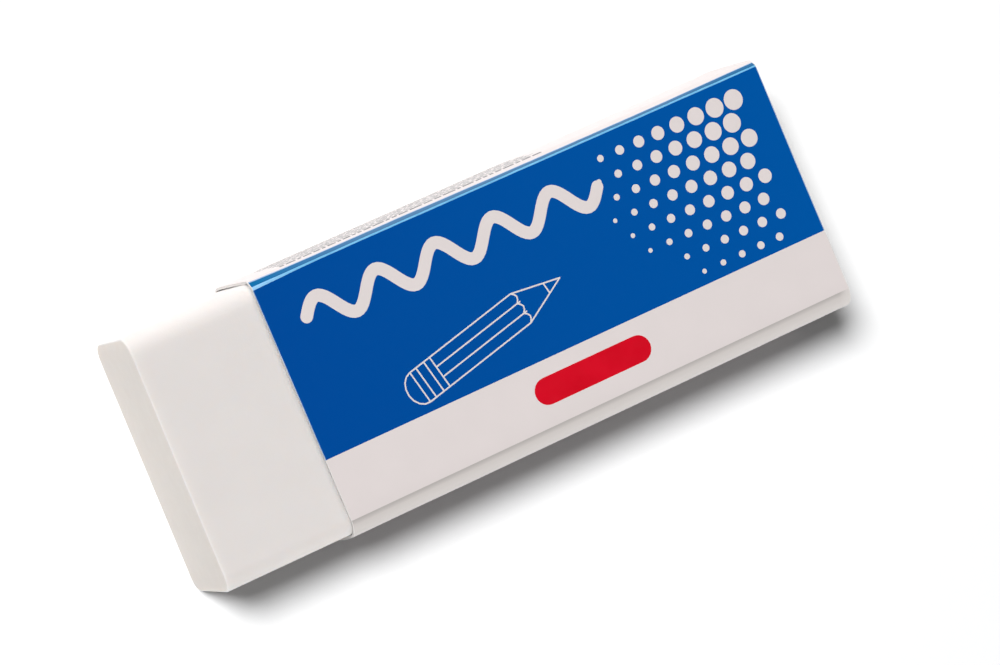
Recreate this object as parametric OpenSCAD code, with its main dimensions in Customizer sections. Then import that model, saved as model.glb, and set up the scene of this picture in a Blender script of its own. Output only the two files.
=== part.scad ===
// A block eraser in a folded card sleeve.
//
// +X runs along the block, from the bare end towards the covered end.
// +Z is up: the sleeve's plain back panel rests on Z = 0 and its front panel faces up.
// The origin is on that back panel, under the middle of the block.

/* [Block] */
// Length of the block, from cut end to cut end
block_len = 65; // [50:0.5:80]
// Width of the block across its two large faces
block_w = 24; // [18:0.5:30]
// Thickness of the block between its two large faces
block_t = 12; // [9.5:0.5:16]
// Radius along the four long edges of the block
edge_r = 2; // [1.2:0.05:2.4]
// Radius that eases the edges of the two cut ends
end_r = 0.35; // [0.1:0.05:0.6]

/* [Card sleeve] */
// Length of the sleeve along the block
sleeve_len = 52.7; // [20:0.1:75]
// Length of block that shows in front of the sleeve
bare_len = 12.3; // [0:0.1:30]
// Thickness of the card
card_t = 0.25; // [0.2:0.01:0.35]
// Clearance all round between the block and the card that slides on it
slide_gap = 0.1; // [0.05:0.01:0.2]

/* [Folds] */
// Distance from the side of the sleeve to the crest of each of the two sharp folds
crest_in = 0.85; // [0.6:0.05:1.1]
// Angle that the card turns at that crest
crest_turn = 37; // [25:1:50]
// Outside radius of the card at the crest
crest_r = 0.4; // [0.36:0.01:0.6]
// Outside radius of the shoulder, where the card turns on down the side
shoulder_r = 0.6; // [0.4:0.05:0.8]
// Distance of each of the two scored lines past the start of the block's rounding
score_past = 0.8; // [0.75:0.05:1.2]
// Angle that the card turns at a scored line, before it rounds the corner
score_turn = 15; // [5:1:16]
// Width of a scored line
score_w = 0.4; // [0.3:0.05:0.6]
// Depth of a scored line
score_depth = 0.06; // [0.03:0.01:0.1]

/* [Glue lap] */
// Height that the glue flap reaches up the lapped side, above the back panel
flap_h = 7.8; // [5:0.1:7.8]
// Clearance from the top of the flap to the knee where the outer panel settles on it
knee_gap = 0.3; // [0.1:0.05:0.5]
// Height of the outer panel's free edge above the back panel
free_edge_h = 2.4; // [2:0.1:4]

/* [Hidden] */
$fn = 64;

// The block lies inside the sleeve, a card and a clearance above the table.
block_z = card_t + slide_gap;

// Centres of the block's long-edge radii.
corner_y = block_w / 2 - edge_r;
corner_low = block_z + edge_r;
corner_high = block_z + block_t - edge_r;

// Distances of the card's two flat faces from those centres.
inner_r = edge_r + slide_gap;
outer_r = inner_r + card_t;

// A soft fold: outside radius of the bend that runs from the scored line into the side of the
// sleeve, and where the centre of that bend lies, seen from the centre of the block's radius.
bend_r = (outer_r - score_past) / (1 - sin(score_turn));
bend_at = [outer_r - bend_r, outer_r - bend_r * cos(score_turn)];

// The lapped side: the flap's outer face, and the outer panel's outer face on top of it.
flap_y = corner_y + outer_r;
lap_y = flap_y + card_t;

// The outer panel leaves the bend early and leans out to a knee just above the flap.
knee_z = flap_h + knee_gap;
knee_at = [lap_y - corner_y, knee_z - corner_high] - bend_at;
lean = acos(bend_r / norm(knee_at)) + atan2(knee_at.y, knee_at.x);

// Radius of the round-nosed rule that presses a scored line of this width and depth.
score_r = (score_w * score_w / 4 + score_depth * score_depth) / (2 * score_depth);

// How far a cut runs past the ends of what it cuts.
cut_over = 1;

// Where a straight runs into an arc, one of them is moved this far towards the other, so that the
// two always cross.
set_in = 0.0002;

block_front_x = -block_len / 2;
sleeve_front_x = block_front_x + bare_len;

// ---------------------------------------------------------------- the block

// A rectangle centred on the origin, with its corners rounded to radius r.
module eased_rectangle(len, width, r) {
  square([len - 2 * r, width], center = true);
  square([len, width - 2 * r], center = true);
  for (x = [-1, 1], y = [-1, 1])
    translate([x * (len / 2 - r), y * (width / 2 - r)])
      circle(r = r);
}

// One long edge of the block: a round rod along X whose two ends are eased.
module edge_rod() {
  rotate([0, 90, 0])
    rotate_extrude()
      intersection() {
        eased_rectangle(2 * edge_r, block_len, end_r);
        translate([0, -block_len / 2])
          square([edge_r, block_len]);
      }
}

// The four rods, and the two slabs that fill the block between them.
module eraser_block() {
  color("whitesmoke")
    translate([0, 0, block_z + block_t / 2]) {
      for (y = [-1, 1], z = [-1, 1])
        translate([0, y * corner_y, z * (block_t / 2 - edge_r)])
          edge_rod();
      translate([0, corner_y, 0])
        rotate([90, 0, 0])
          linear_extrude(height = 2 * corner_y)
            eased_rectangle(block_len, block_t, end_r);
      translate([0, 0, edge_r - block_t / 2])
        linear_extrude(height = block_t - 2 * edge_r)
          eased_rectangle(block_len, block_w, end_r);
    }
}

// ---------------------------------------------------------------- the sleeve

// One plain shape of the sleeve's section, as a bar along the sleeve. Section shapes are drawn
// with the row's Y and Z as their two axes. A bar that cuts runs past both ends by over.
module bar(over) {
  translate([sleeve_front_x - over, 0, 0])
    rotate([90, 0, 90])
      linear_extrude(height = sleeve_len + 2 * over)
        children();
}

// Copies its children to one corner of the wrap, turned to face out there. The corner's origin
// is the centre of the block's radius.
module at_corner(side, level) {
  translate([0, side * corner_y, level > 0 ? corner_high : corner_low])
    mirror([0, side > 0 ? 0 : 1, 0])
      mirror([0, 0, level > 0 ? 0 : 1])
        children();
}

// Everything inside the outer face of the card at a soft fold, or inside a face that lies deeper:
// the flat runs on to the scored line, and from there one round bend leads into the side.
module soft_fold(depth, over) {
  r = outer_r - depth;
  bar(over)
    square([bend_at.x, r]);
  bar(over)
    square([r, bend_at.y]);
  intersection() {
    bar(over)
      square([r, r]);
    bar(over)
      translate(bend_at)
        circle(r = bend_r - depth + set_in);
  }
}

// The same at a sharp fold: the flat runs on to a tight crest, and a slanting strip leads from
// there to the shoulder, where the card turns on down the side.
module sharp_fold(depth, over) {
  r = outer_r - depth;
  nose_r = crest_r - depth;
  side_r = shoulder_r - depth;
  nose = [outer_r - crest_in - crest_r * tan(crest_turn / 2), outer_r - crest_r];
  shoulder = [
    outer_r - shoulder_r,
    outer_r - crest_in * tan(crest_turn) - shoulder_r * tan((90 - crest_turn) / 2),
  ];
  slant = [sin(crest_turn), cos(crest_turn)];
  bar(over)
    translate(nose)
      circle(r = nose_r);
  bar(over)
    translate(shoulder)
      circle(r = side_r);
  bar(over)
    polygon([
      [0, 0],
      [0, r],
      [nose.x, r],
      nose + (nose_r - set_in) * slant,
      shoulder + (side_r - set_in) * slant,
      [r, shoulder.y],
      [r, 0],
    ]);
}

// Everything inside one face of the card, at a depth under its outer face. A sleeve like this
// is folded flat before it is used, which makes two opposite folds sharp and leaves two soft.
module wrap(depth, over) {
  r = outer_r - depth;
  bar(over)
    translate([-corner_y, corner_low - r])
      square([2 * corner_y, corner_high - corner_low + 2 * r]);
  bar(over)
    translate([-corner_y - r, corner_low])
      square([2 * (corner_y + r), corner_high - corner_low]);
  for (s = [-1, 1]) {
    at_corner(s, s)
      sharp_fold(depth, over);
    at_corner(-s, s)
      soft_fold(depth, over);
  }
}

// The outer panel of the lapped side, filled in as far as the block. It hangs from the bend above.
module lap_panel() {
  at_corner(-1, 1)
    bar(0)
      polygon([
        [0, 0],
        bend_at + (bend_r - set_in) * [cos(lean), sin(lean)],
        [lap_y - corner_y, knee_z - corner_high],
        [lap_y - corner_y, free_edge_h - corner_high],
        [0, free_edge_h - corner_high],
      ]);
}

// The space behind that panel, above the end of the glue flap.
module lap_space() {
  at_corner(-1, 1)
    bar(cut_over)
      polygon([
        [0, 0],
        bend_at + (bend_r - card_t - set_in) * [cos(lean), sin(lean)],
        [flap_y - corner_y, knee_z - card_t * tan(lean / 2) - corner_high],
        [flap_y - corner_y, flap_h - corner_high],
        [0, flap_h - corner_high],
      ]);
}

// The scored line pressed into the outside of the card, where a soft fold leaves the flat.
module score() {
  bar(cut_over)
    translate([score_past, outer_r] + (score_r - score_depth) * [sin(score_turn / 2), cos(score_turn / 2)])
      circle(r = score_r);
}

module card_sleeve() {
  color([0, 0.31, 0.63])
    difference() {
      union() {
        wrap(0, 0);
        lap_panel();
      }
      wrap(card_t, cut_over);
      lap_space();
      for (s = [-1, 1])
        at_corner(-s, s)
          score();
    }
}

eraser_block();
card_sleeve();
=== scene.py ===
# %% [markdown]
# # A block eraser in its card sleeve
#
# The real thing is two pieces. One is a block of soft white vinyl. The other is a strip of thin printed
# card, folded round the block and glued to itself, so that it grips but still slides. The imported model
# already holds both in their true sizes, and this lesson dresses them: it loads that model as a fixed
# frame, builds a detailed piece over each of its two nodes, and lights the result.

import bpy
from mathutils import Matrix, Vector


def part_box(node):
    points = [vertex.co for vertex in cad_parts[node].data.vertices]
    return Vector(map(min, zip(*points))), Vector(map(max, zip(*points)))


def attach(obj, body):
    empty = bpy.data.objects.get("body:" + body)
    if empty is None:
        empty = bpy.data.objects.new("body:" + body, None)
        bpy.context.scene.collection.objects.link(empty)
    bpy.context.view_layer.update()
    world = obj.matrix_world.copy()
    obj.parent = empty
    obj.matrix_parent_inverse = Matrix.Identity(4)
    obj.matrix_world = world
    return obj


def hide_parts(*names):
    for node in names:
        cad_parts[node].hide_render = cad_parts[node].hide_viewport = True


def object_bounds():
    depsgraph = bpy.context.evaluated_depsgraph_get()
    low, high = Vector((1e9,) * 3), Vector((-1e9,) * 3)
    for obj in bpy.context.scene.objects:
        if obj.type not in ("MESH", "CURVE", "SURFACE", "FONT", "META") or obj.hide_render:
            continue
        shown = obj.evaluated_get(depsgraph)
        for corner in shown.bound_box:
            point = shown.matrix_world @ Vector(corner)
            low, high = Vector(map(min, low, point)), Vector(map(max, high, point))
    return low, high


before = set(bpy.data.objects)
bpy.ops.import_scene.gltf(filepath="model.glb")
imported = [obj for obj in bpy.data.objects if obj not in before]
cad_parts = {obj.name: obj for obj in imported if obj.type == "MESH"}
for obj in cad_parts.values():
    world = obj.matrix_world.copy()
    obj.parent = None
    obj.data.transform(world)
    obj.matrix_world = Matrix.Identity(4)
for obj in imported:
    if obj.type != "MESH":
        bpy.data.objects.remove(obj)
cad_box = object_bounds()

# %% Other tools
import math
import random
from collections import Counter

import bpy
from mathutils import Matrix, Vector, geometry, noise

# %% [markdown]
# ## Sizes that everything shares
#
# Blender works in metres and a sleeve like this is drawn in millimetres. Shapes below are worked out in
# millimetres and scaled once, when a mesh is made. The big sizes are read from the frame's own boxes, so
# that the new pieces land exactly on the old ones. Only what a box can't tell, such as the thickness of
# the card, is written down as a number.

# %% Read the two boxes in millimetres
MM = 0.001

block_low, block_high = (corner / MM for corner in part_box("eraser_block"))
sleeve_low, sleeve_high = (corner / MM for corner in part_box("card_sleeve"))
block_size = block_high - block_low
sleeve_length = sleeve_high.x - sleeve_low.x
print("block", [round(v, 2) for v in block_size], "sleeve length", round(sleeve_length, 2))

# %% Sizes that a box can't tell
EDGE_R = 2.0
END_R = 0.15
CARD_T = 0.25
SLIDE_GAP = 0.1

corner_y = block_high.y - EDGE_R
corner_low = block_low.z + EDGE_R
corner_high = block_high.z - EDGE_R
outer_r = EDGE_R + SLIDE_GAP + CARD_T
print("the card's outer face stands", round(outer_r, 3), "mm off the centres of the block's edges")

# %% [markdown]
# ## The camera
#
# A small thing looks natural through a long lens held close, which flattens it a little. The camera is
# placed the way one sets up a tripod: a point to aim at on the top face, a bearing and a height angle, a
# distance, and then a roll of the whole camera, so that the block runs across the picture at a slant.

# %% Point something at a place
def towards(bearing, height):
    """The direction out from the object at a bearing round it, 0 along +X and 90 along +Y, in degrees."""
    a, e = math.radians(bearing), math.radians(height)
    return Vector((math.cos(e) * math.cos(a), math.cos(e) * math.sin(a), math.sin(e)))


def aim(thing, place, target, roll=0.0):
    """Puts a camera or a lamp at a place, turned to face the target, and rolls it by some degrees."""
    turn = (target - place).to_track_quat("-Z", "Y").to_matrix().to_4x4()
    thing.matrix_world = Matrix.Translation(place) @ turn @ Matrix.Rotation(math.radians(roll), 4, "Z")


# %% Set up the camera
camera_data = bpy.data.cameras.new("camera")
camera_data.lens = 129.3
camera_data.sensor_width = 36.0
camera = bpy.data.objects.new("camera", camera_data)
bpy.context.collection.objects.link(camera)

camera_aim = Vector((-0.6, -1.09, 12.7)) * MM
camera_distance = 321.9 * MM
aim(camera, camera_aim + towards(166.0, 70.5) * camera_distance, camera_aim, roll=80.25)
bpy.context.scene.camera = camera
print("the camera stands", round(camera_distance, 3), "m away")

# %% [markdown]
# ## Table and light
#
# White things on a white table are lit softly, or their own faces merge. The table is a sheet of milk
# glass with a faint glow of its own, so that its shadows stay open. One large lamp stands high behind and
# to the left, and it gives the short soft shadow. A second lamp in the same place adds a little to the
# table only, so that the table turns pure white before the object does. Three small low lights go to the
# object only: a screen behind it for the narrow side and the fold, a card in front of it for the near
# edges, and one for the cut end. They show in no sheen, because seen from low down they would wash out the
# large face. The front card's light is not passed on to the table, which would fill the shadow.

# %% The table
def flat_disc(name, radius, rings, spokes):
    """A round sheet of quads in the plane Z = 0, with rings that widen outwards."""
    points = [Vector((0, 0, 0))]
    faces = []
    for ring in range(1, rings + 1):
        reach = radius * (ring / rings) ** 2
        for spoke in range(spokes):
            angle = 2 * math.pi * spoke / spokes
            points.append(Vector((reach * math.cos(angle), reach * math.sin(angle), 0)))
    for spoke in range(spokes):
        after = (spoke + 1) % spokes
        faces.append((0, 1 + spoke, 1 + after))
        for ring in range(rings - 1):
            inner, outer = 1 + ring * spokes, 1 + (ring + 1) * spokes
            faces.append((inner + spoke, outer + spoke, outer + after, inner + after))
    mesh = bpy.data.meshes.new(name)
    mesh.from_pydata(points, [], faces)
    return bpy.data.objects.new(name, mesh)


table = flat_disc("table", 3.0, rings=12, spokes=48)
bpy.context.collection.objects.link(table)
print("the table has", len(table.data.polygons), "faces")

# %% The lamps
lit_pieces = bpy.data.collections.new("lit_pieces")
lit_table = bpy.data.collections.new("lit_table")
lit_table.objects.link(table)
object_middle = (Vector(cad_box[0]) + Vector(cad_box[1])) / 2


def studio_lamp(name, bearing, height, distance, size, watts, only=None, glossy=True, passed_on=True):
    """A round lamp that faces the object. It may light only some pieces, show in no sheen, or not be
    passed on by what it lights."""
    data = bpy.data.lights.new(name, "AREA")
    data.shape = "DISK"
    data.size = size
    data.energy = watts
    if not passed_on:
        data.cycles.max_bounces = 0
    lamp = bpy.data.objects.new(name, data)
    bpy.context.collection.objects.link(lamp)
    aim(lamp, object_middle + towards(bearing, height) * distance, object_middle)
    lamp.light_linking.receiver_collection = only
    lamp.visible_glossy = glossy
    print(name, "at bearing", bearing, "and height", height)


LAMP_PLACE = {"bearing": 136, "height": 60.8, "distance": 2.4, "size": 0.74}
studio_lamp("overhead_lamp", **LAMP_PLACE, watts=47.7)
studio_lamp("table_lamp", **LAMP_PLACE, watts=17.5, only=lit_table)
LOW = {"only": lit_pieces, "glossy": False}
studio_lamp("back_screen", bearing=85, height=16, distance=0.8, size=0.5, watts=3.6, **LOW)
studio_lamp("end_card", bearing=180, height=20, distance=0.6, size=0.4, watts=0.15, **LOW)
studio_lamp(
    "front_card", bearing=-88, height=14, distance=0.6, size=0.4, watts=2.55, passed_on=False, **LOW
)

# %% The room: pale walls under a dark ceiling
WALL_LIGHT = 0.1
CEILING_LIGHT = 0.02
CEILING_FROM = 0.75

world = bpy.data.worlds.new("room")
world.use_nodes = True
tree = world.node_tree
upward = tree.nodes.new("ShaderNodeSeparateXYZ")
fade = tree.nodes.new("ShaderNodeMapRange")
fade.inputs["From Max"].default_value = CEILING_FROM
fade.inputs["To Min"].default_value = WALL_LIGHT
fade.inputs["To Max"].default_value = CEILING_LIGHT
tree.links.new(tree.nodes.new("ShaderNodeTexCoord").outputs["Generated"], upward.inputs["Vector"])
tree.links.new(upward.outputs["Z"], fade.inputs["Value"])
tree.links.new(fade.outputs["Result"], tree.nodes["Background"].inputs["Strength"])
tree.nodes["Background"].inputs["Color"].default_value = (1.0, 1.0, 1.0, 1.0)
bpy.context.scene.world = world
bpy.context.scene.view_settings.view_transform = "Standard"
print("walls", WALL_LIGHT, "ceiling", CEILING_LIGHT)

# %% [markdown]
# ## How a finish is made
#
# A finish is one material: a shader whose plain values are set on its own sockets, and a few nodes for
# what changes from place to place. All patterns are read from the piece's own coordinates in metres, so
# a pattern of a given scale has a real size. Three small helpers keep each recipe short: one adds a node,
# one gives soft random spots of a given size, and one turns such spots into a bump of a given depth.

# %% Helpers for finishes
# Random spots seldom pass these two values, so they stand for none and all of a pattern.
SPOT_LOW, SPOT_HIGH = 0.3, 0.7

# A mix node has sockets for every kind of value. These are the ones for colours.
MIX_DARK, MIX_LIGHT, MIX_RESULT = 6, 7, 2


def new_finish(name, **plain):
    """A material with the standard shader. Plain values are given by socket, with _ for each space."""
    material = bpy.data.materials.new(name)
    material.use_nodes = True
    shader = material.node_tree.nodes["Principled BSDF"]
    for socket, value in plain.items():
        shader.inputs[socket.replace("_", " ")].default_value = value
    return material


def add_node(material, kind, inputs, **settings):
    """Adds a node. Each input is a value to set or another node's output to link."""
    node = material.node_tree.nodes.new(kind)
    for setting, value in settings.items():
        setattr(node, setting, value)
    for socket, value in inputs.items():
        if isinstance(value, bpy.types.NodeSocket):
            material.node_tree.links.new(value, node.inputs[socket])
        else:
            node.inputs[socket].default_value = value
    return node


def drive(material, socket, output):
    """Lets a node's output drive one socket of the material's shader."""
    shader = material.node_tree.nodes["Principled BSDF"]
    material.node_tree.links.new(output, shader.inputs[socket])


def spots(material, size, stretch=(1, 1, 1), detail=3.0, roughness=0.5):
    """Soft random spots from 0 to 1, about size millimetres across, longer along a stretched axis."""
    place = add_node(material, "ShaderNodeTexCoord", {})
    density = [1 / (size * MM * along) for along in stretch]
    scaled = add_node(material, "ShaderNodeMapping", {"Vector": place.outputs["Object"], "Scale": density})
    pattern = add_node(
        material,
        "ShaderNodeTexNoise",
        {"Vector": scaled.outputs["Vector"], "Scale": 1.0, "Detail": detail, "Roughness": roughness},
    )
    return pattern.outputs["Fac"]


def spread(material, amount, low, high):
    """Turns an amount around one half into a range of values from low to high."""
    node = add_node(
        material,
        "ShaderNodeMapRange",
        {"Value": amount, "From Min": SPOT_LOW, "From Max": SPOT_HIGH, "To Min": low, "To Max": high},
    )
    return node.outputs["Result"]


def two_tones(material, amount, dark, light):
    """A colour between two tones, by an amount around one half. The dark one may be a node's output."""
    share = spread(material, amount, 0.0, 1.0)
    node = material.node_tree.nodes.new("ShaderNodeMix")
    node.data_type = "RGBA"
    material.node_tree.links.new(share, node.inputs["Factor"])
    if isinstance(dark, bpy.types.NodeSocket):
        material.node_tree.links.new(dark, node.inputs[MIX_DARK])
    else:
        node.inputs[MIX_DARK].default_value = (*dark, 1.0)
    node.inputs[MIX_LIGHT].default_value = (*light, 1.0)
    return node.outputs[MIX_RESULT]


def ramp(material, axis, start, end):
    """An amount that rises as spots do between two places on an axis, in millimetres. Along Y the
    places are distances from the middle, so that both sides are alike."""
    place = add_node(material, "ShaderNodeTexCoord", {})
    along = add_node(material, "ShaderNodeSeparateXYZ", {"Vector": place.outputs["Object"]}).outputs[axis]
    if axis == "Y":
        along = add_node(material, "ShaderNodeMath", {0: along}, operation="ABSOLUTE").outputs["Value"]
    limits = {"From Min": start * MM, "From Max": end * MM, "To Min": SPOT_LOW, "To Max": SPOT_HIGH}
    return add_node(material, "ShaderNodeMapRange", {"Value": along, **limits}).outputs["Result"]


def bump(material, height, depth, under=None):
    """A bump whose full range is depth in millimetres, laid over another bump if there is one."""
    inputs = {"Height": height, "Distance": depth * MM, "Strength": 1.0}
    if under is not None:
        inputs["Normal"] = under
    return add_node(material, "ShaderNodeBump", inputs).outputs["Normal"]


print("helpers ready")

# %% [markdown]
# ## The table's finish
#
# Milk glass, sanded dull: almost white, with a very slight tooth and a faint even glow from below.

# %% Milk glass
TABLE_GLOW = 0.062

glass = new_finish(
    "milk_glass",
    Base_Color=(0.96, 0.965, 0.97, 1.0),
    Roughness=0.9,
    Specular_IOR_Level=0.1,
    Emission_Color=(1.0, 1.0, 1.0, 1.0),
    Emission_Strength=TABLE_GLOW,
)
drive(glass, "Normal", bump(glass, spots(glass, 0.8), 0.01))
table.data.materials.append(glass)
print("table finish", glass.name)

# %% [markdown]
# ## The vinyl block
#
# Such a block is cut from a long extruded bar. The bar's die leaves very faint lines along its length
# and rounds the four long edges. A guillotine cuts the ends, which stay flat, with edges only as soft as
# the material, and never quite square. A loft does all of this: one ring of points round the bar, copied
# along it, drawn in at the ends for the eased edges, and closed with a finely divided cap that can take
# the slight hollow that a blade leaves.
#
# Soft vinyl also takes the shape of what holds it. Under the card it has filled out towards the folds, and
# the large faces bulge just in front of the card's edge, where the grip ends. The bulge stands higher than
# the inside of the card, so this shape is only true with the sleeve in its place: the real bulge is pressed
# flat when the sleeve slides over it, and this one is not.

# %% One ring round the bar
CORNER_STEPS = 10
RING_STEP = 0.8


def bar_ring(inset):
    """Points (y, z) round the bar, as seen with +X towards the eye, drawn in by an inset."""
    half_y, half_z = block_size.y / 2 - inset, block_size.z / 2 - inset
    radius = EDGE_R - inset
    middle_z = (block_low.z + block_high.z) / 2
    across = math.ceil(block_size.y / RING_STEP)
    upward = math.ceil(block_size.z / RING_STEP)
    corners = [(1, 1, 0, across), (-1, 1, 90, upward), (-1, -1, 180, across), (1, -1, 270, upward)]
    ring = []
    for side_y, side_z, start, steps in corners:
        centre = Vector((side_y * (half_y - radius), middle_z + side_z * (half_z - radius)))
        for step in range(CORNER_STEPS + 1):
            angle = math.radians(start + 90 * step / CORNER_STEPS)
            ring.append(centre + radius * Vector((math.cos(angle), math.sin(angle))))
        straight = 2 * (half_y - radius) if steps == across else 2 * (half_z - radius)
        along = Vector((-math.sin(angle), math.cos(angle)))
        last = ring[-1]
        ring += [last + along * straight * step / steps for step in range(1, steps)]
    return ring


print("a ring has", len(bar_ring(0)), "points")

# %% Where the rings stand
PINCH_REACH = 0.65
HOLD_REACH = 0.2
EASE_STEPS = 5
PINCH_STEPS = 6


def even_places(start, end, step):
    """Evenly spaced places after a start, up to and with the end, no further apart than a step."""
    count = math.ceil((end - start) / step)
    return [start + (end - start) * index / count for index in range(1, count + 1)]


def ring_places():
    """(x, inset) of each ring, closer together where the end edges are eased."""
    eased = []
    for step in range(EASE_STEPS + 1):
        angle = math.radians(90 * step / EASE_STEPS)
        eased.append((END_R * (1 - math.cos(angle)), END_R * (1 - math.sin(angle))))
    front = [(block_low.x + depth, inset) for depth, inset in eased]
    back = [(block_high.x - depth, inset) for depth, inset in reversed(eased)]
    pinched, held = sleeve_low.x - PINCH_REACH, sleeve_low.x + HOLD_REACH
    middle = even_places(front[-1][0], pinched, RING_STEP)
    middle += even_places(pinched, held, PINCH_REACH / PINCH_STEPS)
    middle += even_places(held, back[0][0], RING_STEP)[:-1]
    return front + [(x, 0.0) for x in middle] + back


print("the bar has", len(ring_places()), "rings")

# %% How the real bar departs from a perfect one
BARE_END_SKEW = 0.0134
COVERED_END_SKEW = -0.006
SKEW_REACH = 6.0
BLADE_HOLLOW = 0.04
SIDE_SWELL = 0.03
# How full each long edge is, by its sides in Y and Z: where it is bare, where the card holds it, and how
# narrow the fullness is.
EDGE_FILL = {
    (1, 1): {"bare": 0.0, "held": 0.27, "narrow": 2},
    (-1, 1): {"bare": 0.16, "held": 0.165, "narrow": 1},
    (-1, -1): {"bare": 0.25, "held": 0.25, "narrow": 2},
    (1, -1): {"bare": 0.12, "held": 0.15, "narrow": 2},
}
HELD_FILL = 0.045
BULGE = 0.18
BULGE_FADE = 0.012
FILL_LOW = 0.65
FILL_RISE = 0.7
UNEVEN = 0.015
UNEVEN_LONG = 14
UNEVEN_WIDE = 9


def cut_skew(point):
    """How far the cut ends lean along X at a point, because the blade was not quite square."""
    from_bare = max(0.0, 1 - (point.x - block_low.x) / SKEW_REACH)
    from_covered = max(0.0, 1 - (block_high.x - point.x) / SKEW_REACH)
    return point.y * (BARE_END_SKEW * from_bare + COVERED_END_SKEW * from_covered)


def outward(point):
    """The direction straight out of the bar's surface at a point, or nothing deep inside."""
    core_z = min(max(point.z, corner_low), corner_high)
    core_y = min(max(point.y, -corner_y), corner_y)
    return Vector((0, point.y - core_y, point.z - core_z)).normalized()


def soft_swell(point, out):
    """How far the soft bar stands out of its true shape. One side is a little full, and so are three of
    the four long edges. Under the card all of it but the other side has filled out towards the card, and
    the large faces bulge just in front of the card's edge, which pinches them."""
    in_front = max(0.0, sleeve_low.x - point.x)
    bare = min(1.0, in_front / PINCH_REACH)
    side = max(0.0, -out.y)
    fill = EDGE_FILL[(1 if out.y > 0 else -1, 1 if out.z > 0 else -1)]
    edge = fill["held"] + (fill["bare"] - fill["held"]) * bare
    edge *= (2 * abs(out.y * out.z)) ** fill["narrow"] * (FILL_LOW + FILL_RISE * out.z**2)
    under = HELD_FILL * (1 - bare) * (out.z**2 + side**2)
    bulge = (BULGE - BULGE_FADE * in_front) * math.sin(math.pi / 2 * bare) * abs(out.z)
    place = Vector((point.x / UNEVEN_LONG, point.y / UNEVEN_WIDE, point.z / UNEVEN_WIDE))
    return SIDE_SWELL * side + edge + under + bulge + UNEVEN * noise.noise(place)


print("the bare end leans", round(BARE_END_SKEW * block_size.y, 2), "mm across the width")

# %% Close an end with a finely divided cap
CAP_STEP = 1.0


def cap(ring, x, hollow):
    """Fills a ring with small faces. Returns points and faces, the ring's own points first."""
    inside = []
    reach_y, reach_z = block_size.y / 2 - CAP_STEP, block_size.z / 2 - CAP_STEP
    middle_z = (block_low.z + block_high.z) / 2
    steps_y, steps_z = math.floor(reach_y / CAP_STEP), math.floor(reach_z / CAP_STEP)
    for j in range(-steps_y, steps_y + 1):
        for k in range(-steps_z, steps_z + 1):
            inside.append(Vector((j * CAP_STEP, middle_z + k * CAP_STEP)))
    found = geometry.delaunay_2d_cdt(ring + inside, [], [list(range(len(ring)))], 1, 1e-6)
    points = []
    for y, z in found[0]:
        across = 1 - (2 * y / block_size.y) ** 2
        upward = 1 - (2 * (z - middle_z) / block_size.z) ** 2
        points.append(Vector((x + hollow * across * upward, y, z)))
    origin = {ids[0]: index for index, ids in enumerate(found[3]) if ids}
    order = [origin[index] for index in range(len(ring))]
    return points, found[2], order


print("cap step", CAP_STEP, "mm")

# %% Loft the block
def loft_block():
    """Joins the rings, closes both ends and lets the shape depart from the perfect bar."""
    points, faces = [], []
    places = ring_places()
    for x, inset in places:
        points += [Vector((x, y, z)) for y, z in bar_ring(inset)]
    count = len(bar_ring(0))
    for row in range(len(places) - 1):
        first, second = row * count, (row + 1) * count
        for index in range(count):
            after = (index + 1) % count
            faces.append((first + index, first + after, second + after, second + index))
    around = len(faces)
    ends = [(0, block_low.x, BLADE_HOLLOW, True), (len(places) - 1, block_high.x, -BLADE_HOLLOW, False)]
    for row, x, hollow, reverse in ends:
        cap_points, cap_faces, order = cap(bar_ring(END_R), x, hollow)
        known = {order[index]: row * count + index for index in range(count)}
        for index, point in enumerate(cap_points):
            if index not in known:
                known[index] = len(points)
                points.append(point)
        for face in cap_faces:
            corners = [known[index] for index in face]
            faces.append(tuple(reversed(corners)) if reverse else tuple(corners))
    return points, faces, around


block_points, block_faces, faces_around = loft_block()
print("the block has", len(block_points), "points and", len(block_faces), "faces")

# %% Turn the points into a piece
def make_piece(name, points, faces):
    """A smooth-shaded object from points in millimetres."""
    mesh = bpy.data.meshes.new(name)
    mesh.from_pydata([point * MM for point in points], [], faces)
    mesh.update()
    mesh.shade_smooth()
    piece = bpy.data.objects.new(name, mesh)
    bpy.context.collection.objects.link(piece)
    lit_pieces.objects.link(piece)
    return piece


shaped = []
for point in block_points:
    out = outward(point)
    shaped.append(point + out * soft_swell(point, out) + Vector((cut_skew(point), 0, 0)))
vinyl_block = make_piece("vinyl_block", shaped, block_faces)
print("vinyl_block is", [round(v / MM, 2) for v in vinyl_block.dimensions], "mm")

# %% [markdown]
# ## The vinyl's finish
#
# Soft vinyl filled with chalk is dull and very slightly see-through, so light creeps round its edges.
# That is what subsurface scattering is for, kept short here, under a millimetre. The die's lines are a
# bump of long thin spots. The blade's lines on the cut ends run the other way, from one large face to the
# other, and the cut ends are given a tone a touch warmer and darker than the moulded skin, so they have
# their own finish.

# %% White vinyl
LINE_STRETCH = 60


def vinyl_finish(name, dark, light, stretch):
    """Soft vinyl between two close tones, with faint lines along the axis that is stretched."""
    material = new_finish(
        name,
        Subsurface_Weight=0.5,
        Subsurface_Radius=(1.0, 0.8, 0.65),
        Subsurface_Scale=1.2 * MM,
        Specular_IOR_Level=0.35,
    )
    drive(material, "Base Color", two_tones(material, spots(material, 9.0), dark, light))
    drive(material, "Roughness", spread(material, spots(material, 1.2), 0.5, 0.66))
    lines = bump(material, spots(material, 0.35, stretch=stretch), 0.008)
    drive(material, "Normal", bump(material, spots(material, 0.18), 0.006, under=lines))
    return material


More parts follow.
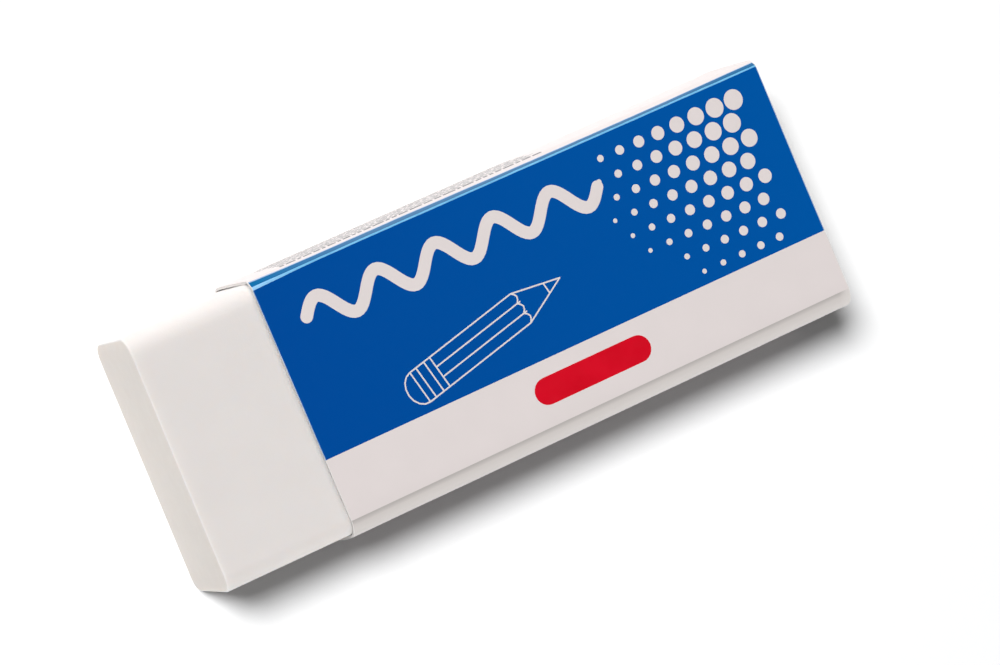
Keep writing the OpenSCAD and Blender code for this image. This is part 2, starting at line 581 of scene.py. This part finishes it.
white_vinyl = vinyl_finish("white_vinyl", (0.71, 0.675, 0.657), (0.73, 0.695, 0.677), (LINE_STRETCH, 1, 1))
cut_vinyl = vinyl_finish("cut_vinyl", (0.70, 0.652, 0.608), (0.715, 0.666, 0.622), (1, 1, LINE_STRETCH))
vinyl_block.data.materials.append(white_vinyl)
vinyl_block.data.materials.append(cut_vinyl)
for polygon in vinyl_block.data.polygons:
    polygon.material_index = 1 if polygon.index >= faces_around else 0
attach(vinyl_block, "block")
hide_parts("eraser_block")
print("vinyl block finished")

# %% [markdown]
# ## The card sleeve: one flat blank, folded
#
# A sleeve is printed flat, cut out, scored, folded and glued. Building it in the same order is the
# easiest way to get it right: draw the blank as a flat sheet, lay the print on it as outlines, cut the
# sheet into small faces along those outlines, and only then bend it. The print then runs round the folds
# by itself, and its edges are as sharp as real ink. The bending needs one thing, the path of the card's
# outer face across the block, which is a list of flats and bends. Such a sleeve is folded flat before it
# is used, which makes two opposite folds sharp and leaves two soft.

# %% The sizes of the folds
CREST_IN = 0.85
CREST_TURN = 37.0
CREST_R = 0.4
SHOULDER_R = 0.6
SCORE_PAST = 0.8
SCORE_TURN = 15.0
SCORE_R = 0.3
FLAP_TOP = 7.8
KNEE_GAP = 0.3
LAP_EDGE = 2.4
KNEE_R = 0.6


def tangent(radius, degrees):
    """How much of each flat a bend of this radius and turn takes up."""
    return radius * math.tan(math.radians(degrees / 2))


bend_r = (outer_r - SCORE_PAST) / (1 - math.sin(math.radians(SCORE_TURN)))
bend_out = outer_r - bend_r
bend_up = outer_r - bend_r * math.cos(math.radians(SCORE_TURN))
shoulder_drop = CREST_IN * math.tan(math.radians(CREST_TURN)) + tangent(SHOULDER_R, 90 - CREST_TURN)
print("the round bend has radius", round(bend_r, 2), "mm")

# %% Where the lap leans out over the flap
lap_y = corner_y + outer_r + CARD_T
knee_z = FLAP_TOP + KNEE_GAP
knee_across = lap_y - corner_y - bend_out
knee_down = corner_high + bend_up - knee_z
lean_reach = math.hypot(knee_across, knee_down)
lean = math.degrees(math.acos(bend_r / lean_reach) - math.atan2(knee_down, knee_across))
print("the lap leans", round(lean, 1), "degrees")

# %% The path of the card
def bend(name, radius, degrees):
    """A bend as (name, length along the outer face, turn in radians)."""
    return (name, radius * math.radians(degrees), math.radians(degrees))


def flat(name, length):
    """A flat as (name, length, no turn)."""
    return (name, length, 0.0)


def large_panel(name):
    """A large face, from its scored line to the crest of its sharp fold."""
    run = 2 * corner_y + SCORE_PAST + outer_r - CREST_IN
    return flat(name, run - tangent(SCORE_R, SCORE_TURN) - tangent(CREST_R, CREST_TURN))


def sharp_fold(where):
    """A sharp fold: a tight crest, a slanting strip, and the shoulder where the side begins."""
    strip = CREST_IN / math.cos(math.radians(CREST_TURN))
    strip -= tangent(CREST_R, CREST_TURN) + tangent(SHOULDER_R, 90 - CREST_TURN)
    return [
        bend(where + " crest", CREST_R, CREST_TURN),
        flat(where + " strip", strip),
        bend(where + " shoulder", SHOULDER_R, 90 - CREST_TURN),
    ]


def soft_fold(where, turn):
    """A soft fold: one round bend that ends at a scored line, where the card turns once more."""
    trim = math.degrees(tangent(SCORE_R, SCORE_TURN) / bend_r)
    return [
        bend(where + " bend", bend_r, turn - SCORE_TURN - trim),
        bend(where + " score", SCORE_R, SCORE_TURN + trim),
    ]


card_path = [
    flat("lap", knee_z - tangent(KNEE_R, lean) - LAP_EDGE),
    bend("knee", KNEE_R, lean),
    flat("lean", math.sqrt(lean_reach**2 - bend_r**2) - tangent(KNEE_R, lean)),
    *soft_fold("front", 90 - lean),
    large_panel("front panel"),
    *sharp_fold("upper"),
    flat("side panel", corner_high - corner_low + outer_r - shoulder_drop + bend_up),
    *soft_fold("back", 90),
    large_panel("back panel"),
    *sharp_fold("lower"),
    flat("flap", FLAP_TOP - corner_low + outer_r - shoulder_drop),
]
blank_height = sum(length for name, length, turn in card_path)
print("the blank is", round(sleeve_length, 1), "by", round(blank_height, 1), "mm")

# %% Walk along the path
def stations():
    """Each stretch of the path as (name, distance at its start, y, z, heading, length, turn)."""
    y, z, heading, distance = -lap_y, LAP_EDGE, math.pi / 2, 0.0
    found = []
    for name, length, turn in card_path:
        found.append((name, distance, y, z, heading, length, turn))
        if turn:
            radius = length / turn
            y += radius * (math.sin(heading) - math.sin(heading - turn))
            z += radius * (math.cos(heading - turn) - math.cos(heading))
            heading -= turn
        else:
            y += length * math.cos(heading)
            z += length * math.sin(heading)
        distance += length
    return found


path_stations = stations()
starts = {name: distance for name, distance, *rest in path_stations}


def on_path(distance):
    """The point (y, z) of the outer face at a distance along the blank, and the direction out of it."""
    for name, start, y, z, heading, length, turn in path_stations:
        if distance <= start + length + 1e-9:
            break
    gone = distance - start
    if turn:
        radius = length / turn
        now = heading - gone / radius
        y += radius * (math.sin(heading) - math.sin(now))
        z += radius * (math.cos(now) - math.cos(heading))
    else:
        now = heading
        y += gone * math.cos(heading)
        z += gone * math.sin(heading)
    return Vector((y, z)), Vector((-math.sin(now), math.cos(now)))


print("the path ends at", [round(v, 3) for v in on_path(blank_height)[0]], "inside the lap")

# %% [markdown]
# ## What is printed on it
#
# The print is plain fields and shapes: a blue field over the upper part of each large face, a bare band
# below it, a bold wave, a pencil in thin line, a fade of dots and a red bar, with rows of short grey dashes
# on the narrow side. Wear and painted light are laid on in the same way: the ink is rubbed on the crest,
# where a painted highlight also lightens it, worn and then faded beyond it, and painted shade greys the
# bare card at the scored line. Each shape is a closed outline in face coordinates: u runs along the sleeve
# from its open front edge, and v up the face from its lower fold. An outline and its ink together are a
# print job, and later jobs cover earlier ones.

# %% Helpers for outlines
def box_outline(left, bottom, right, top):
    """A rectangle's four corners."""
    return [Vector((left, bottom)), Vector((right, bottom)), Vector((right, top)), Vector((left, top))]


def round_outline(centre, radius, steps=32):
    """A circle's points."""
    turns = [2 * math.pi * step / steps for step in range(steps)]
    return [centre + radius * Vector((math.cos(turn), math.sin(turn))) for turn in turns]


def stroke_outlines(points, width):
    """A pen stroke through some points: a thin box for each stretch and a round spot at each point."""
    outlines = [round_outline(point, width / 2, steps=12) for point in points]
    for start, end in zip(points, points[1:]):
        across = (end - start).normalized().orthogonal() * width / 2
        outlines.append([start - across, end - across, end + across, start + across][::-1])
    return outlines


def anticlockwise(outline):
    """The same outline, turned round if it runs clockwise."""
    pairs = zip(outline, outline[1:] + outline[:1])
    area = sum(a.x * b.y - b.x * a.y for a, b in pairs)
    return outline if area > 0 else outline[::-1]


print("a spot has", len(round_outline(Vector((0, 0)), 1)), "points")

# %% The bold wave
WAVE_START = Vector((3.6, 18.0))
WAVE_LENGTH = 30.0
WAVE_HEIGHT = 1.35
WAVE_COUNT = 5
WAVE_STROKE = 1.15


def wave_outline():
    """A thick wave with round ends, as one closed outline."""
    steps = WAVE_COUNT * 24
    spine, across = [], []
    for step in range(steps + 1):
        phase = 2 * math.pi * WAVE_COUNT * step / steps
        spine.append(WAVE_START + Vector((WAVE_LENGTH * step / steps, WAVE_HEIGHT * math.sin(phase))))
        slope = WAVE_HEIGHT * math.cos(phase) * 2 * math.pi * WAVE_COUNT / WAVE_LENGTH
        across.append(Vector((-slope, 1)).normalized() * WAVE_STROKE / 2)
    upper = [point + side for point, side in zip(spine, across)]
    lower = [point - side for point, side in zip(spine, across)]
    return lower + upper[::-1]


def wave():
    """The wave and its two round ends."""
    ends = [WAVE_START, WAVE_START + Vector((WAVE_LENGTH, 0))]
    return [wave_outline()] + [round_outline(end, WAVE_STROKE / 2, steps=24) for end in ends]


print("the wave's outline has", len(wave_outline()), "points")

# %% The pencil in thin line
PENCIL_TAIL = Vector((9.4, 7.9))
PENCIL_TILT = 13.0
PENCIL_HALF = 1.6
PENCIL_LINE = 0.14


def pencil():
    """A pencil's outline: rubber, ferrule, barrel with two ridges, sharpened cone and point."""
    rubber, ferrule, shoulder, lead, tip = 1.3, 3.6, 13.2, 16.3, 17.9
    half = PENCIL_HALF
    rubber_arc = []
    for step in range(9):
        angle = math.radians(90 + 180 * step / 8)
        rubber_arc.append(Vector((rubber + rubber * math.cos(angle), half * math.sin(angle))))
    scallops = []
    for step in range(13):
        share = step / 12
        dip = 0.35 * abs(math.sin(3 * math.pi * share))
        scallops.append(Vector((shoulder + dip, half * (1 - 2 * share))))
    lines = [
        rubber_arc,
        [Vector((rubber, half)), Vector((shoulder, half)), Vector((tip, 0))],
        [Vector((rubber, -half)), Vector((shoulder, -half)), Vector((tip, 0))],
        [Vector((rubber, half)), Vector((rubber, -half))],
        [Vector((ferrule, half)), Vector((ferrule, -half))],
        [Vector((ferrule - 0.7, half)), Vector((ferrule - 0.7, -half))],
        [Vector((rubber + 0.7, half)), Vector((rubber + 0.7, -half))],
        [Vector((ferrule, half / 3)), Vector((shoulder + 0.3, half / 3))],
        [Vector((ferrule, -half / 3)), Vector((shoulder + 0.3, -half / 3))],
        scallops,
        [Vector((lead, half * (tip - lead) / (tip - shoulder))),
         Vector((lead, -half * (tip - lead) / (tip - shoulder)))],
    ]
    turn = Matrix.Rotation(math.radians(PENCIL_TILT), 2)
    placed = [[PENCIL_TAIL + turn @ point for point in line] for line in lines]
    return [outline for line in placed for outline in stroke_outlines(line, PENCIL_LINE)]


print("the pencil is drawn with", len(pencil()), "small outlines")

# %% The fade of dots
DOT_PITCH = 2.05
DOT_ROWS = 8
DOT_CORNER = Vector((49.3, 20.2))


def dots():
    """Staggered rows of dots that shrink away from the upper corner."""
    outlines = []
    for row in range(DOT_ROWS):
        for place in range(DOT_ROWS):
            offset = Vector((-(place + 0.5 * (row % 2)) * DOT_PITCH, -row * DOT_PITCH * 0.92))
            radius = 0.95 - 0.055 * (offset.length / DOT_PITCH) ** 1.25
            if radius > 0.2:
                outlines.append(round_outline(DOT_CORNER + offset, radius))
    return outlines


print("the fade has", len(dots()), "dots")

# %% The red bar
def capsule(left, right, middle, half, steps=12):
    """A bar with half-round ends."""
    outline = []
    for centre, start in ((right - half, -90), (left + half, 90)):
        for step in range(steps + 1):
            angle = math.radians(start + 180 * step / steps)
            outline.append(Vector((centre, middle)) + half * Vector((math.cos(angle), math.sin(angle))))
    return outline


red_bar = capsule(20.3, 32.4, 3.1, 1.25)
print("the red bar's outline has", len(red_bar), "points")

# %% The fine rows on the narrow side
ROW_COUNT = 12
ROW_PITCH = 0.8
ROW_HEIGHT = 0.5
ROW_GAP = 0.2
ROWS_FROM, ROWS_TO = 3.0, 29.5


def fine_rows():
    """Rows of short dashes of mixed length, in place of small print."""
    dice = random.Random(7)
    dashes = []
    for row in range(ROW_COUNT):
        left = ROWS_FROM + dice.random()
        while left < ROWS_TO:
            right = left + dice.uniform(0.3, 1.3)
            height = -0.3 + row * ROW_PITCH
            dashes.append(box_outline(left, height, right, height + ROW_HEIGHT))
            left = right + ROW_GAP
    return dashes


print("the narrow side has", len(fine_rows()), "dashes")

# %% Lay out the whole print
SPLIT_HEIGHT = 5.8
WEAR_AT = (0.0, 4.0, 7.0, 15.0, 20.0, 30.0, 42.0, 50.0, 60.0)
# The next two rows bound the rubbed band along the crest, whose colour is rubbed ink and a painted
# highlight.
RUB_HIGHLIGHT_FROM = (-0.24, -0.17, -0.15, -0.14, -0.14, -0.14, -0.14, -0.14, -0.14)
RUB_HIGHLIGHT_TO = (0.10, 0.03, 0.02, 0.02, 0.02, 0.02, 0.02, 0.02, 0.02)
INK_TO = (0.80, 0.64, 0.62, 0.63, 0.54, 0.40, 0.40, 0.56, 0.56)
FADE = 0.12
FRAY = 0.02
# The painted shade beside each scored line is this wide.
CREASE_W = 2.2
CUT_MARGIN = 0.07

print_jobs = []


def print_shape(ink, outline, face_start):
    """Adds one print job. The outline is in face coordinates and the face starts there on the blank."""
    shifted = [Vector((sleeve_low.x, face_start)) + point for point in outline]
    print_jobs.append((ink, anticlockwise(shifted)))


def wear_line(limits, crest):
    """A line along the sleeve beside a crest: its distance past the crest at each place, a little frayed."""
    line = []
    steps = math.ceil(sleeve_length)
    for step in range(steps + 1):
        u = sleeve_length * step / steps
        after = next(index for index, place in enumerate(WEAR_AT) if place > u)
        share = (u - WEAR_AT[after - 1]) / (WEAR_AT[after] - WEAR_AT[after - 1])
        past = limits[after - 1] + share * (limits[after] - limits[after - 1])
        line.append(Vector((u, crest + past + FRAY * noise.noise(Vector((u / 1.3, crest, past))))))
    return line


def print_face(panel, fold):
    """The blue field, its worn crest with a painted highlight, the painted shade past its scored line and
    everything on it, on one large face.
    """
    start = starts[panel]
    crest = starts[fold + " crest"] + CREST_R * math.radians(CREST_TURN) / 2 - start
    lower_edge = [Vector((0, SPLIT_HEIGHT)), Vector((sleeve_length, SPLIT_HEIGHT))]
    ink_edge = wear_line(INK_TO, crest)
    faded_edge = [point + Vector((0, FADE)) for point in ink_edge]
    rub_highlight_from, rub_highlight_to = wear_line(RUB_HIGHLIGHT_FROM, crest), wear_line(RUB_HIGHLIGHT_TO, crest)
    print_shape("faded", rub_highlight_to + faded_edge[::-1], start)
    print_shape("worn", rub_highlight_to + ink_edge[::-1], start)
    print_shape("blue", lower_edge + rub_highlight_from[::-1], start)
    # The rubbed crest band: rubbed ink with a painted highlight over it.
    print_shape("rubbed_highlight", rub_highlight_from + rub_highlight_to[::-1], start)
    for outline in wave() + pencil() + dots():
        print_shape("white", outline, start)
    print_shape("red", red_bar, start)
    # Painted shade over the bare card beside the scored line.
    print_shape("crease_shade", box_outline(0, -CREASE_W, sleeve_length, 0), start)


print_shape("white", box_outline(0, 0, sleeve_length, blank_height), 0)
print_face("front panel", "upper")
print_face("back panel", "lower")
for dash in fine_rows():
    print_shape("grey", dash, starts["side panel"])
print(len(print_jobs), "print jobs:", dict(Counter(ink for ink, outline in print_jobs)))

# %% [markdown]
# ## Cutting the blank into faces
#
# The sheet has to be divided twice over: along the print's outlines, so that every face has one ink, and
# along enough straight lines that it can bend smoothly. A constrained triangulation takes both at once.
# It returns, for each small face, the print jobs that cover it, and the last of them is its ink.

# %% Lines along and across the blank
LINE_STEP = 1.4
BEND_STEP = 7.5
SCORE_STEP = 0.06
SCORE_EASE = 0.45


def shares(start, length, count):
    """Equal steps from a start over a length."""
    return [start + length * step / count for step in range(count + 1)]


def fold_lines():
    """Distances along the blank at which a line runs across it, closer together in the bends."""
    found = []
    for name, start, y, z, heading, length, turn in path_stations:
        count = math.ceil(math.degrees(turn) / BEND_STEP) if turn else math.ceil(length / LINE_STEP)
        found += shares(start, length, count)
    for panel in ("front panel", "back panel"):
        found += shares(starts[panel] - SCORE_EASE, SCORE_EASE, 10)
    return sorted({round(value, 4) for value in found + [CUT_MARGIN, blank_height - CUT_MARGIN]})


def length_lines():
    """Places along X at which a line runs up the blank."""
    count = math.ceil(sleeve_length / LINE_STEP)
    found = shares(sleeve_low.x, sleeve_length, count)
    return sorted(found + [sleeve_low.x + CUT_MARGIN, sleeve_high.x - CUT_MARGIN])


print(len(fold_lines()), "lines across and", len(length_lines()), "lines along the blank")

# %% Cut it
HAIR = 0.0005


def snapped(point):
    """A flat point, moved onto the blank's own edge if it lies within a hair of it."""
    x, h = point
    for edge in (sleeve_low.x, sleeve_high.x):
        x = edge if abs(x - edge) < HAIR else x
    for edge in (0.0, blank_height):
        h = edge if abs(h - edge) < HAIR else h
    return Vector((x, h))


def cut_blank():
    """Flat points, small faces, and the ink of each face."""
    points, lines, outlines = [], [], []
    for x in length_lines():
        lines.append((len(points), len(points) + 1))
        points += [Vector((x, 0)), Vector((x, blank_height))]
    for h in fold_lines():
        lines.append((len(points), len(points) + 1))
        points += [Vector((sleeve_low.x, h)), Vector((sleeve_high.x, h))]
    for ink, outline in print_jobs:
        outlines.append(list(range(len(points), len(points) + len(outline))))
        points += outline
    found = geometry.delaunay_2d_cdt([snapped(point) for point in points], lines, outlines, 1, 1e-5)
    inks = [print_jobs[max(jobs)][0] for jobs in found[5]]
    return found[0], found[2], inks


flat_points, blank_faces, blank_inks = cut_blank()
print("the blank has", len(flat_points), "points and", len(blank_faces), "faces:", dict(Counter(blank_inks)))

# %% [markdown]
# ## Bending the blank
#
# Real card never lies quite true. The front face bows out a little between its folds, the card steps down
# beside each scored line, and all of it ripples faintly. These are added before the bend, as a height over
# the ideal path. After the bend the card shifts sideways: the upper crest drifts out away from the mouth,
# the narrow side leans in and the lapped side spreads. The far end is also cut a little long and out of
# square.

# %% How far the card stands off its path
PANEL_BOWS = {"front panel": 0.03, "back panel": -0.03}
RIPPLE = 0.012
RIPPLE_LONG = 8
INNER_SHARE = 0.6
SCORE_FADE = 0.5
CREST_DRIFT = 0.12
DRIFT_REACH = 7.0
SIDE_LEAN = 0.12
LAP_SPREAD = 0.045
CUT_LONG = 0.06
CUT_SKEW = 0.08


def panel_share(distance):
    """The name of the stretch at a distance, and how far across it that is, from 0 to 1."""
    for name, start, y, z, heading, length, turn in path_stations:
        if distance <= start + length + 1e-9:
            return name, (distance - start) / length
    return name, 1.0


def score_step(x, distance):
    """How far the face has stepped down beside a scored line. The step dies out at the covered end."""
    fade = min(1.0, (sleeve_high.x - x) / SCORE_FADE)
    for where in ("front", "back"):
        past = starts[where + " panel"] - distance
        reach = starts[where + " panel"] - starts[where + " bend"]
        if 0 < past < reach:
            short = max(0.0, 1 - past / SCORE_EASE)
            return SCORE_STEP * fade * (1 - short**2) * (1 - past / reach)
    return 0.0


def stand_off(x, distance):
    """The height of the outer face over its ideal path."""
    name, share = panel_share(distance)
    bow = PANEL_BOWS.get(name, 0.0) * math.sin(math.pi * share)
    ripple = RIPPLE * noise.noise(Vector((x / RIPPLE_LONG, distance / RIPPLE_LONG, 0.5)))
    return bow + ripple - score_step(x, distance)


def settle(x, distance):
    """How far the card has shifted towards +Y: the upper crest drifts out, the narrow side leans in and
    the lapped side spreads."""
    name, share = panel_share(distance)
    from_mouth = min(1.0, (x - sleeve_low.x) / DRIFT_REACH)
    crest = {"front panel": share**4, "upper crest": 1.0, "upper strip": 1 - share}
    side = {"upper strip": share, "upper shoulder": 1.0, "side panel": (1 - share) ** 2}
    lapped = {"lean": 1.0, "front bend": 1.0, "front score": 1.0, "front panel": (1 - share) ** 4}
    spread_here = LAP_SPREAD * (1 + (x - sleeve_low.x) / sleeve_length)
    drift = CREST_DRIFT * from_mouth * crest.get(name, 0.0)
    return drift - SIDE_LEAN * side.get(name, 0.0) - spread_here * lapped.get(name, 0.0)


print("the front face bows out", PANEL_BOWS["front panel"], "mm")

# %% Fold it, with a back and cut edges
def folded(x, distance, depth):
    """The place of a point of the blank once folded, at a depth under the outer face. The card's back
    follows only part of what its face does."""
    point, out = on_path(distance)
    follows = 1 if depth == 0 else INNER_SHARE
    point = point + out * (stand_off(x, distance) * follows - depth)
    along = (x - sleeve_low.x) / sleeve_length
    longer = along * (CUT_LONG + CUT_SKEW * max(0.0, -point.x / corner_y))
    return Vector((x + longer, point.x + settle(x, distance), point.y))


point_count = len(flat_points)
sleeve_points = [folded(x, h, 0.0) for x, h in flat_points]
sleeve_points += [folded(x, h, CARD_T) for x, h in flat_points]
sleeve_faces = [tuple(face) for face in blank_faces]
sleeve_faces += [tuple(index + point_count for index in reversed(face)) for face in blank_faces]
sides = Counter()
for face in blank_faces:
    for a, b in zip(face, face[1:] + face[:1]):
        sides[(min(a, b), max(a, b))] += 1
rim = []
for face in blank_faces:
    for a, b in zip(face, face[1:] + face[:1]):
        if sides[(min(a, b), max(a, b))] == 1:
            rim.append((b, a, a + point_count, b + point_count))
sleeve_faces += rim
printed_sleeve = make_piece("printed_sleeve", sleeve_points, sleeve_faces)
print("printed_sleeve has", len(sleeve_faces), "faces, of which", len(rim), "are cut edge")

# %% [markdown]
# ## The finishes of the sleeve
#
# The card is coated white on its printed face and bare on its back. Ink over that coating is smooth with
# a slight sheen. Along the crest of each sharp fold the ink is rubbed and cracked, so the white shows
# through in places, and it is painted lighter still as a painted highlight. Past the scored line the bare
# card is painted grey as painted shade. The cut edge is open fibre, and blue ink is faded beside it. Each
# is its own material, and every face takes the one that its print job names.

# %% Coated card and inks
def add_card_tooth(material, depth):
    """The faint tooth of coated card: fine fibre over a slow unevenness."""
    slow = bump(material, spots(material, 1.6), 0.006)
    drive(material, "Normal", bump(material, spots(material, 0.12), depth, under=slow))


def ink_finish(name, dark, light, shine, gloss=0.25, slow=False):
    """Ink on coated card, between two close tones, at a given roughness. A slow ink changes from the
    dark tone at the mouth to the light one at the other end."""
    material = new_finish(name, Specular_IOR_Level=gloss)
    change = ramp(material, "X", sleeve_low.x, sleeve_high.x) if slow else spots(material, 3.0)
    drive(material, "Base Color", two_tones(material, change, dark, light))
    drive(material, "Roughness", spread(material, spots(material, 0.7), shine - 0.04, shine + 0.05))
    add_card_tooth(material, 0.002)
    return material


finishes = {
    "white": ink_finish("coated_card", (0.70, 0.64, 0.63), (0.715, 0.652, 0.643), 0.46),
    "blue": ink_finish("blue_ink", (0.0, 0.064, 0.302), (0.0, 0.084, 0.345), 0.32, gloss=0.08, slow=True),
    "faded": ink_finish("faded_blue_ink", (0.28, 0.42, 0.60), (0.42, 0.52, 0.68), 0.45),
    "red": ink_finish("red_ink", (0.58, 0.001, 0.012), (0.64, 0.002, 0.016), 0.4),
    "grey": ink_finish("grey_ink", (0.18, 0.175, 0.18), (0.27, 0.265, 0.27), 0.45),
}
print("inks", sorted(finishes))

# %% Rubbed crest with its painted highlight, and the worn strip beside it
RUB_HIGHLIGHT_REACH = 5
WORN_REACH = 12
STRIP_END = (9, 3)

# The rubbed crest is painted in light blues: rubbed and cracked ink with a painted highlight on top,
# lightest near the mouth.
rubbed_highlight = new_finish("rubbed_ink_highlight", Specular_IOR_Level=0.4)
cracks = spots(rubbed_highlight, 0.25, stretch=(3, 1, 1), detail=5.0, roughness=0.7)
cracked_highlight = two_tones(rubbed_highlight, cracks, (0.13, 0.42, 0.72), (0.22, 0.58, 0.86))
at_mouth = ramp(rubbed_highlight, "X", sleeve_low.x + RUB_HIGHLIGHT_REACH, sleeve_low.x)
drive(rubbed_highlight, "Base Color", two_tones(rubbed_highlight, at_mouth, cracked_highlight, (0.30, 0.58, 0.88)))
drive(rubbed_highlight, "Roughness", spread(rubbed_highlight, spots(rubbed_highlight, 0.4), 0.3, 0.45))
finishes["rubbed_highlight"] = rubbed_highlight

worn = new_finish("worn_blue_ink", Roughness=0.4, Specular_IOR_Level=0.05)
past_mouth = ramp(worn, "X", sleeve_low.x, sleeve_low.x + WORN_REACH)
along_strip = two_tones(worn, past_mouth, (0.0, 0.12, 0.31), (0.075, 0.185, 0.34))
strip_end = ramp(worn, "X", *(sleeve_high.x - short for short in STRIP_END))
drive(worn, "Base Color", two_tones(worn, strip_end, along_strip, (0.03, 0.14, 0.30)))
add_card_tooth(worn, 0.002)
finishes["worn"] = worn
print("crest finishes", rubbed_highlight.name, worn.name)

# %% Painted shade past the scored line
CREASE_DARK = 0.08
CREASE_MIDDLE = 0.5
CREASE_CLEAR = 1.6
CREASE_END = (1.0, 0.2)
CREASE_SHADE_TONES = ((0.445, 0.415, 0.40), (0.605, 0.563, 0.542), (0.65, 0.613, 0.592))

# The bare card past the scored line is painted darker here as painted shade: darkest beside the line,
# clearing further out, and evening out towards the covered end.
crease_shade = new_finish("crease_shaded_card", Roughness=0.5, Specular_IOR_Level=0.25)
crease_y = corner_y + SCORE_PAST
close_by = ramp(crease_shade, "Y", crease_y + CREASE_DARK, crease_y + CREASE_MIDDLE)
near = two_tones(crease_shade, close_by, CREASE_SHADE_TONES[0], CREASE_SHADE_TONES[1])
further = ramp(crease_shade, "Y", crease_y + CREASE_MIDDLE, crease_y + CREASE_CLEAR)
past_crease = two_tones(crease_shade, further, near, CREASE_SHADE_TONES[2])
crease_end = ramp(crease_shade, "X", *(sleeve_high.x - short for short in CREASE_END))
drive(crease_shade, "Base Color", two_tones(crease_shade, crease_end, past_crease, CREASE_SHADE_TONES[2]))
add_card_tooth(crease_shade, 0.002)
finishes["crease_shade"] = crease_shade
print("crease finish", crease_shade.name)

# %% Bare back and cut edge
bare_back = new_finish("bare_card_back", Specular_IOR_Level=0.25)
back_fibre = spots(bare_back, 0.5, stretch=(4, 1, 1))
drive(bare_back, "Base Color", two_tones(bare_back, back_fibre, (0.56, 0.54, 0.51), (0.66, 0.64, 0.61)))
drive(bare_back, "Roughness", spread(bare_back, spots(bare_back, 0.4), 0.75, 0.9))
drive(bare_back, "Normal", bump(bare_back, spots(bare_back, 0.1, stretch=(3, 1, 1)), 0.01))

cut_edge = new_finish("cut_card_edge", Specular_IOR_Level=0.25)
edge_fibre = spots(cut_edge, 0.08)
drive(cut_edge, "Base Color", two_tones(cut_edge, edge_fibre, (0.66, 0.63, 0.61), (0.80, 0.77, 0.75)))
drive(cut_edge, "Roughness", spread(cut_edge, spots(cut_edge, 0.1), 0.75, 0.95))
drive(cut_edge, "Normal", bump(cut_edge, spots(cut_edge, 0.06), 0.015))
print("other finishes", bare_back.name, cut_edge.name)

# %% Give every face its finish
slots = {}
for key, material in {**finishes, "back": bare_back, "edge": cut_edge}.items():
    slots[key] = len(printed_sleeve.data.materials)
    printed_sleeve.data.materials.append(material)


def face_key(face, ink):
    """The finish of a face of the printed side: its ink, or what is left of it beside a cut."""
    xs = [flat_points[index].x for index in face]
    hs = [flat_points[index].y for index in face]
    x, h = sum(xs) / len(xs), sum(hs) / len(hs)
    inside = min(x - sleeve_low.x, sleeve_high.x - x, h, blank_height - h)
    if inside > CUT_MARGIN:
        return ink
    return "faded" if ink == "blue" else "edge"


keys = [face_key(face, ink) for face, ink in zip(blank_faces, blank_inks)]
keys += ["back"] * len(blank_faces) + ["edge"] * len(rim)
for polygon, key in zip(printed_sleeve.data.polygons, keys):
    polygon.material_index = slots[key]
print("faces by finish", dict(Counter(keys)))

# %% Keep the cut edges crisp
rim_edges = {tuple(sorted(pair)) for a, b, c, d in rim for pair in ((a, b), (c, d))}
for edge in printed_sleeve.data.edges:
    edge.use_edge_sharp = edge.key in rim_edges
print(sum(edge.use_edge_sharp for edge in printed_sleeve.data.edges), "crisp edges")

# %% Hand the sleeve to its body
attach(printed_sleeve, "sleeve")
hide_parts("card_sleeve")
print("sleeve finished")

# %% [markdown]
# ## Last things
#
# The finished pieces have to fill the same space as the imported model.

# %% The end
print("all pieces built")
